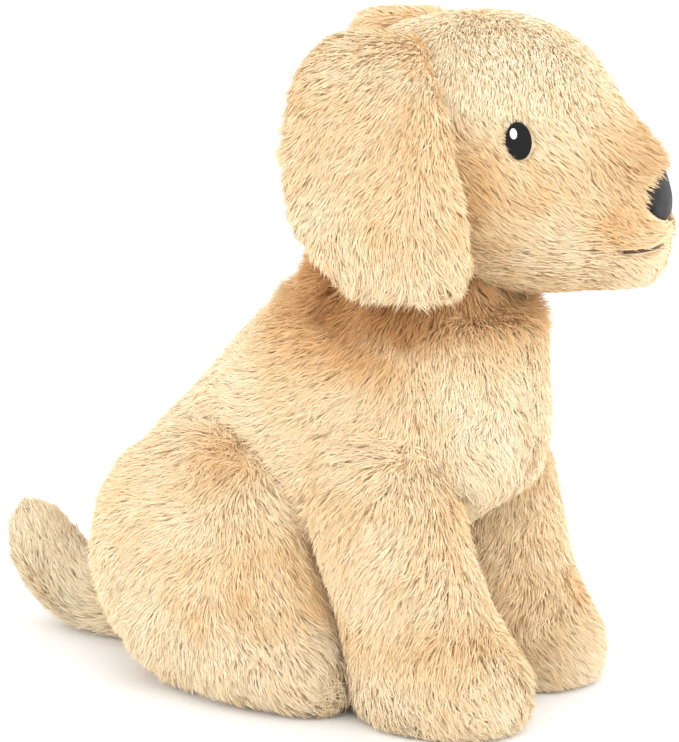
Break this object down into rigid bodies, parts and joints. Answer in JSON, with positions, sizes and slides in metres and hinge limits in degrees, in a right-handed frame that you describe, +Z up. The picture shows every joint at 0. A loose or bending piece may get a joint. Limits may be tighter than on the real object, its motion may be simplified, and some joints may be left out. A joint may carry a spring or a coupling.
{
  "type": "plush dog",
  "caption": "Sitting plush puppy with hanging ears, a stitched face, jointed soft limbs and a short tail; stands on a flat seat.",
  "frame": {"origin": "middle of the flat seat panel's underside, on the surface the dog sits on", "axes": "+Z up; the body faces -Y and the tail points to +Y; the dog's right side is at -X"},
  "size_m": [0.1444, 0.292, 0.279],
  "materials": {
    "golden_plush": "short golden plush pile",
    "cream_plush": "short cream plush pile",
    "fibre_fill": "loose polyester fibre",
    "black_thread": "satin stitch",
    "white_thread": "satin stitch",
    "brown_thread": "stitched line",
    "cream_thread": "ladder stitch",
    "bag_cloth": "plain woven",
    "pellet_plastic": "smooth"
  },
  "bodies": {
    "torso": {"body_side_right": "golden_plush", "body_side_left": "golden_plush", "chest_panel": "cream_plush", "seat_panel": "golden_plush", "body_stuffing": "fibre_fill", "pellet_bag": "bag_cloth", "pellets": "pellet_plastic", "closing_seam": "cream_thread"},
    "neck": {"neck_stuffing": "fibre_fill"},
    "head": {"head_side_right": "golden_plush", "head_side_left": "golden_plush", "head_gusset": "golden_plush", "chin_panel": "cream_plush", "head_stuffing": "fibre_fill", "eye_right": "black_thread", "eye_left": "black_thread", "eye_glint_right": "white_thread", "eye_glint_left": "white_thread", "nose": "black_thread", "mouth_stitch": "brown_thread"},
    "ear_right": {"ear_outer_right": "cream_plush", "ear_lining_right": "golden_plush"},
    "ear_left": {"ear_outer_left": "cream_plush", "ear_lining_left": "golden_plush"},
    "front_leg_right": {"front_leg_outer_right": "golden_plush", "front_leg_inner_right": "golden_plush", "front_leg_stuffing_right": "fibre_fill"},
    "front_leg_left": {"front_leg_outer_left": "golden_plush", "front_leg_inner_left": "golden_plush", "front_leg_stuffing_left": "fibre_fill"},
    "hind_leg_right": {"hind_leg_outer_right": "golden_plush", "hind_leg_inner_right": "golden_plush", "hind_leg_stuffing_right": "fibre_fill"},
    "hind_leg_left": {"hind_leg_outer_left": "golden_plush", "hind_leg_inner_left": "golden_plush", "hind_leg_stuffing_left": "fibre_fill"},
    "tail": {"tail_upper": "golden_plush", "tail_under": "golden_plush", "tail_stuffing": "fibre_fill"}
  },
  "joints": [
    {"name": "neck_turn", "type": "hinge", "parent": "torso", "child": "neck", "pos_m": [0, -0.06, 0.163], "axis": [0, 0, 1], "range_deg": [-37, 3], "stiffness_Nm_per_rad": 0.4},
    {"name": "head_nod", "type": "hinge", "parent": "neck", "child": "head", "pos_m": [0, -0.06, 0.163], "axis": [0.9563, 0.2924, 0], "range_deg": [-8, 8], "stiffness_Nm_per_rad": 4},
    {"name": "ear_right_lift", "type": "hinge", "parent": "head", "child": "ear_right", "pos_m": [-0.02529, -0.05937, 0.265], "axis": [-0.2924, 0.9563, 0], "range_deg": [0, 70]},
    {"name": "ear_left_lift", "type": "hinge", "parent": "head", "child": "ear_left", "pos_m": [0.02061, -0.04533, 0.265], "axis": [0.2924, -0.9563, 0], "range_deg": [0, 70]},
    {"name": "front_leg_right_swing", "type": "hinge", "parent": "torso", "child": "front_leg_right", "pos_m": [-0.038, -0.066, 0.098], "axis": [1, 0, 0], "range_deg": [-12, 0], "stiffness_Nm_per_rad": 0.5},
    {"name": "front_leg_left_swing", "type": "hinge", "parent": "torso", "child": "front_leg_left", "pos_m": [0.038, -0.066, 0.098], "axis": [1, 0, 0], "range_deg": [-12, 0], "stiffness_Nm_per_rad": 0.5},
    {"name": "hind_leg_right_splay", "type": "hinge", "parent": "torso", "child": "hind_leg_right", "pos_m": [-0.038, 0.042, 0.04], "axis": [0, 0, 1], "range_deg": [-14, 0], "stiffness_Nm_per_rad": 0.5},
    {"name": "hind_leg_left_splay", "type": "hinge", "parent": "torso", "child": "hind_leg_left", "pos_m": [0.038, 0.042, 0.04], "axis": [0, 0, 1], "range_deg": [0, 14], "stiffness_Nm_per_rad": 0.5},
    {"name": "tail_wag", "type": "hinge", "parent": "torso", "child": "tail", "pos_m": [0, 0.066, 0.015], "axis": [0, 0, 1], "range_deg": [-25, 25], "stiffness_Nm_per_rad": 0.1}
  ]
}
